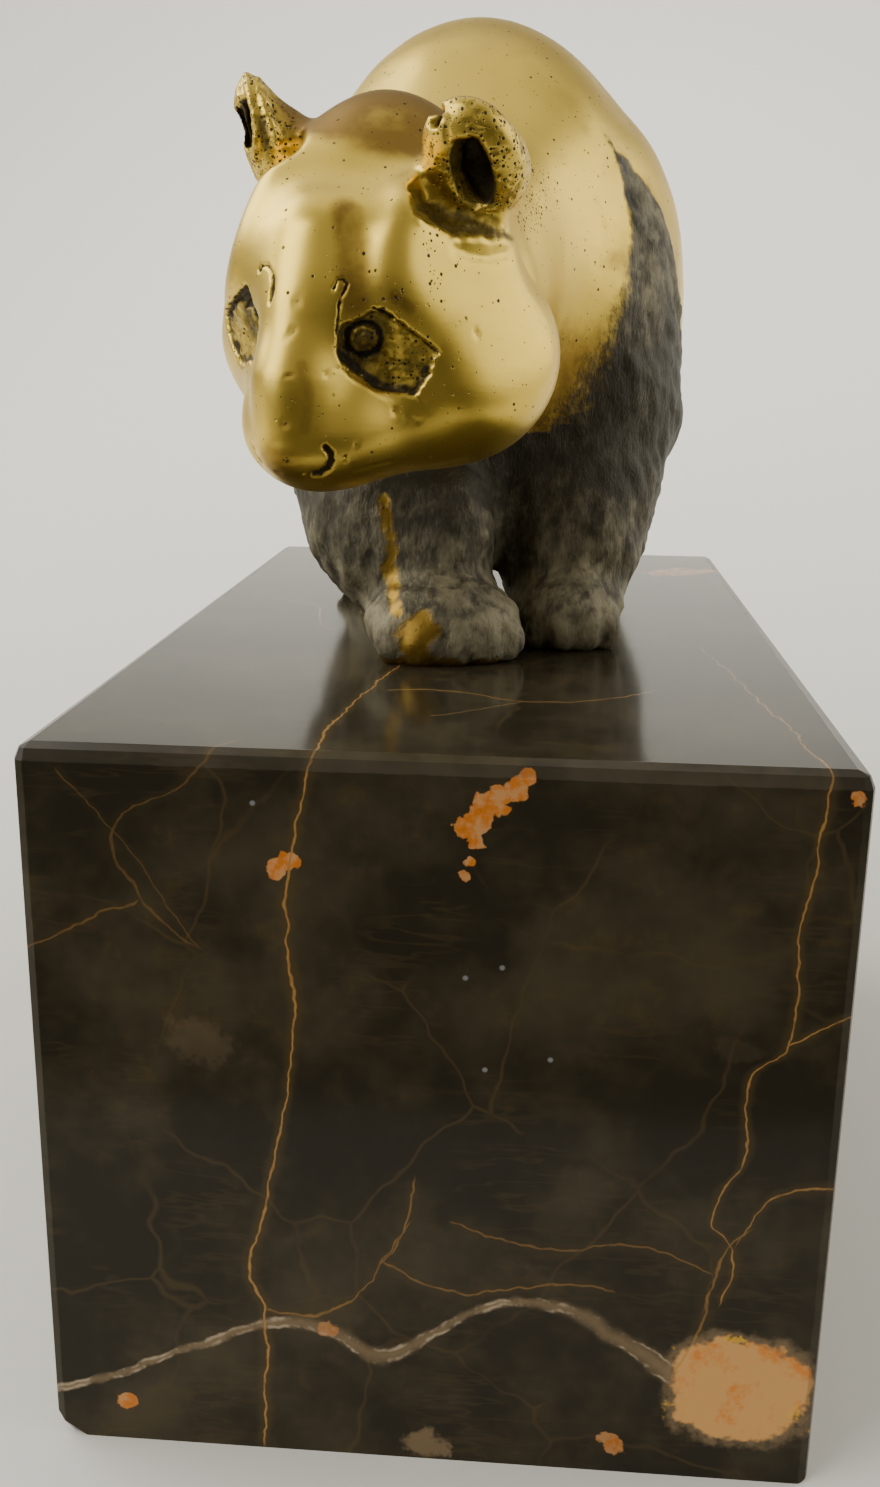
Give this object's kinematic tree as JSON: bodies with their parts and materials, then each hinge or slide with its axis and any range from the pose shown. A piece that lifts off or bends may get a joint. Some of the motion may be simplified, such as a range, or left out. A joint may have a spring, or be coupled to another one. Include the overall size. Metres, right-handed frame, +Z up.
{
  "type": "panda figurine",
  "caption": "Cast figure of a walking panda with its head turned and lowered, standing on a long block of polished marble.",
  "frame": {"origin": "centre of the plinth's underside, which is the middle of the bottom of the bounding box", "axes": "+Z up, -Y the way that the panda walks, +X across the plinth"},
  "size_m": [0.085, 0.15, 0.163],
  "materials": {
    "bronze": "polished bronze on the head and trunk, dark brown-black patina on legs, ears and eye patches",
    "marble": "polished dark brown marble with gold and rust veins"
  },
  "bodies": {
    "root": {"plinth": "marble", "panda": "bronze"}
  },
  "joints": []
}
